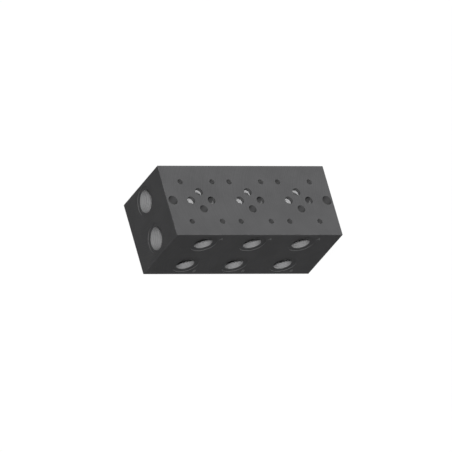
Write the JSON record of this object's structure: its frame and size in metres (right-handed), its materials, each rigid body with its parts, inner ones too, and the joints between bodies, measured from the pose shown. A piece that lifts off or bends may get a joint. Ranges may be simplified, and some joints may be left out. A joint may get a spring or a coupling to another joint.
{
  "type": "hydraulic manifold block",
  "caption": "Drilled steel manifold block that carries directional valves on its top face and feeds them from two common galleries.",
  "frame": {"origin": "centre of the block's underside", "axes": "+X along the block, -Y out of the work ports' face, +Z out of the valve face"},
  "size_m": [0.17, 0.071, 0.07],
  "materials": {
    "block": "dark phosphated steel, fine milled faces, brighter machined bores"
  },
  "bodies": {
    "root": {"manifold_block": "block"}
  },
  "joints": []
}
